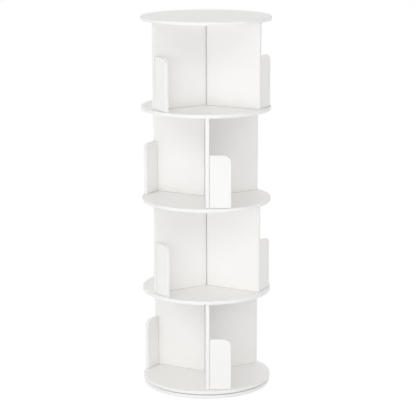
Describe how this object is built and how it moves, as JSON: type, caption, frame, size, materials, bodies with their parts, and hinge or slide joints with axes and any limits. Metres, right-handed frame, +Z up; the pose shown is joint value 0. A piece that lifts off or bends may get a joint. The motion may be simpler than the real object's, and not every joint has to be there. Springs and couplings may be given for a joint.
{
  "type": "rotating media tower",
  "caption": "White rotating media tower: round shelves held apart by staggered radial dividers with low stops, turning on a ball-bearing base disc.",
  "frame": {"origin": "on the floor, at the centre of the footprint and on the axis of rotation", "axes": "+Z up along the axis of rotation, -Y to the front of the picture, +X to its right"},
  "size_m": [0.45, 0.45, 1.3],
  "materials": {
    "white_board": "white satin foil-faced board",
    "bearing_steel": "pressed zinc-plated sheet",
    "screw_steel": "zinc-plated",
    "ball_steel": "polished steel ball",
    "cage_plastic": "natural moulded nylon",
    "dowel_wood": "raw beech",
    "cap_plastic": "white moulded cap",
    "foot_pad": "grey foam rubber pad"
  },
  "bodies": {
    "base": {"base_disc": "white_board", "foot_pads": "foot_pad", "turntable_lower_plate": "bearing_steel", "lower_plate_screws": "screw_steel", "turntable_rivet": "bearing_steel"},
    "ball_ring": {"ball_cage": "cage_plastic", "bearing_balls": "ball_steel"},
    "tower": {"turntable_upper_plate": "bearing_steel", "upper_plate_screws": "screw_steel", "bottom_shelf": "white_board", "lower_shelf": "white_board", "middle_shelf": "white_board", "upper_shelf": "white_board", "top_panel": "white_board", "tier_1_divider_a": "white_board", "tier_1_divider_b": "white_board", "tier_1_divider_c": "white_board", "tier_2_divider_a": "white_board", "tier_2_divider_b": "white_board", "tier_2_divider_c": "white_board", "tier_3_divider_a": "white_board", "tier_3_divider_b": "white_board", "tier_3_divider_c": "white_board", "tier_4_divider_a": "white_board", "tier_4_divider_b": "white_board", "tier_4_divider_c": "white_board", "tier_1_stop_a": "white_board", "tier_1_stop_b": "white_board", "tier_1_stop_c": "white_board", "tier_2_stop_a": "white_board", "tier_2_stop_b": "white_board", "tier_2_stop_c": "white_board", "tier_3_stop_a": "white_board", "tier_3_stop_b": "white_board", "tier_3_stop_c": "white_board", "tier_4_stop_a": "white_board", "tier_4_stop_b": "white_board", "tier_4_stop_c": "white_board", "tier_1_screws": "screw_steel", "tier_2_screws": "screw_steel", "tier_3_screws": "screw_steel", "tier_4_screws": "screw_steel", "tier_1_dowels": "dowel_wood", "tier_2_dowels": "dowel_wood", "tier_3_dowels": "dowel_wood", "tier_4_dowels": "dowel_wood", "tier_1_screw_caps": "cap_plastic", "tier_2_screw_caps": "cap_plastic", "tier_3_screw_caps": "cap_plastic", "tier_4_screw_caps": "cap_plastic"}
  },
  "joints": [
    {"name": "tower_spin", "type": "hinge", "parent": "base", "child": "tower", "pos_m": [0, 0, 0.0135], "axis": [0, 0, 1], "continuous": true},
    {"name": "ball_ring_spin", "type": "hinge", "parent": "base", "child": "ball_ring", "pos_m": [0, 0, 0.0135], "axis": [0, 0, 1], "continuous": true}
  ],
  "couplings": [
    {"joint": "ball_ring_spin", "follows": "tower_spin", "ratio": 0.5}
  ]
}
